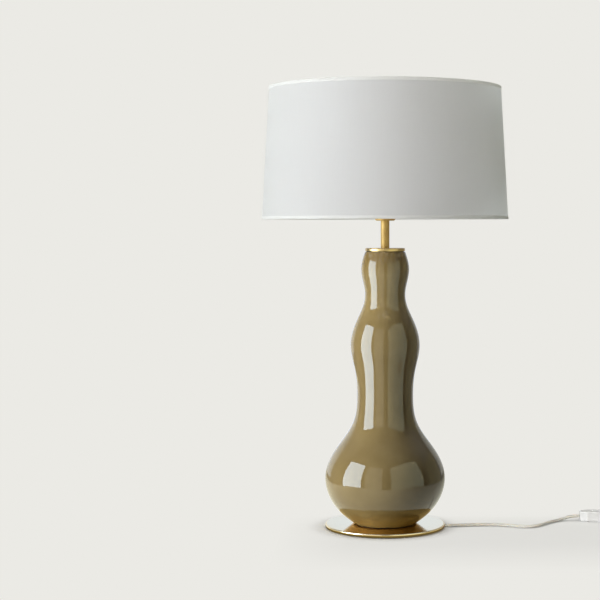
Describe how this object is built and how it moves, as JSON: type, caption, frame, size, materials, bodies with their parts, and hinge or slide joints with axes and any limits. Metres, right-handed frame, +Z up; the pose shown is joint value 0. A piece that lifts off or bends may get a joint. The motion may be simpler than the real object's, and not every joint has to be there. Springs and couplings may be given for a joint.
{
  "type": "table lamp",
  "caption": "Table lamp: glossy body with stacked round swellings on a thin round brass plate, brass cap and stem, tapered drum shade, cord with switch and plug.",
  "frame": {"origin": "on the table, on the vertical axis of the body, under the middle of the base plate", "axes": "+Z up along the axis of plate, body, stem and shade; the cord leaves the plate towards +X; +Y is away from the viewer of the picture"},
  "size_m": [0.7456, 0.4, 0.714],
  "materials": {
    "glaze": "glossy khaki-brown glaze, mirror-like window reflections",
    "brass": "polished, clear lacquered",
    "steel": "zinc plated",
    "rubber": "matt black",
    "shade_cloth": "fine plain weave, off-white",
    "shade_backing": "smooth white lining film",
    "white_wire": "white powder coat",
    "holder_plastic": "white thermoset",
    "porcelain": "unglazed white",
    "contact_brass": "plain",
    "nickel": "nickel plated",
    "opal_glass": "opal, satin",
    "bulb_plastic": "smooth white",
    "bulb_black": "black glass insulator",
    "cord_skin": "pale translucent skin, satin",
    "switch_plastic": "fine satin moulding, pale",
    "plug_plastic": "fine satin moulding, pale",
    "wire_skin": "smooth"
  },
  "bodies": {
    "lamp": {"base_pad": "rubber", "base_plate": "brass", "cord_bush": "rubber", "base_hub": "steel", "hub_screws": "steel", "lock_nut": "steel", "tie_rod": "steel", "foot_gasket": "rubber", "body_shell": "glaze", "neck_gasket": "rubber", "top_cap": "brass", "stem_tube": "brass", "holder_cup": "brass", "grub_screw": "steel", "holder_sleeve": "holder_plastic", "holder_core": "porcelain", "holder_terminals": "contact_brass", "terminal_screws": "steel", "centre_contact": "contact_brass", "screw_shell": "nickel", "clamp_ring": "holder_plastic", "inner_cord": "cord_skin", "core_wires": "wire_skin", "cord_lead": "cord_skin", "switch_base": "switch_plastic", "switch_cover": "switch_plastic", "switch_screws": "steel", "switch_terminals": "contact_brass", "switch_wires": "wire_skin", "rocker_pin": "steel", "cord_run": "cord_skin", "cord_coil": "cord_skin", "cord_tail": "cord_skin", "plug_body": "plug_plastic", "plug_pins": "nickel"},
    "shade": {"shade_fabric": "shade_cloth", "shade_liner": "shade_backing", "shade_bottom_trim": "shade_cloth", "shade_top_trim": "shade_cloth", "shade_top_hoop": "white_wire", "shade_frame": "white_wire"},
    "bulb": {"bulb_tip": "contact_brass", "bulb_insulator": "bulb_black", "bulb_cap": "nickel", "bulb_housing": "bulb_plastic", "bulb_globe": "opal_glass"},
    "rocker": {"switch_rocker": "switch_plastic", "rocker_contact": "contact_brass"}
  },
  "joints": [
    {"name": "shade_turn", "type": "hinge", "parent": "lamp", "child": "shade", "pos_m": [0, 0, 0.5232], "axis": [0, 0, 1], "continuous": true},
    {"name": "bulb_lift", "type": "slide", "parent": "lamp", "child": "bulb", "axis": [0, 0, 1], "range_m": [0, 0.2]},
    {"name": "switch_rock", "type": "hinge", "parent": "lamp", "child": "rocker", "pos_m": [0.354, 0.054, 0.0125], "axis": [0, 1, 0], "range_deg": [0, 14]}
  ]
}
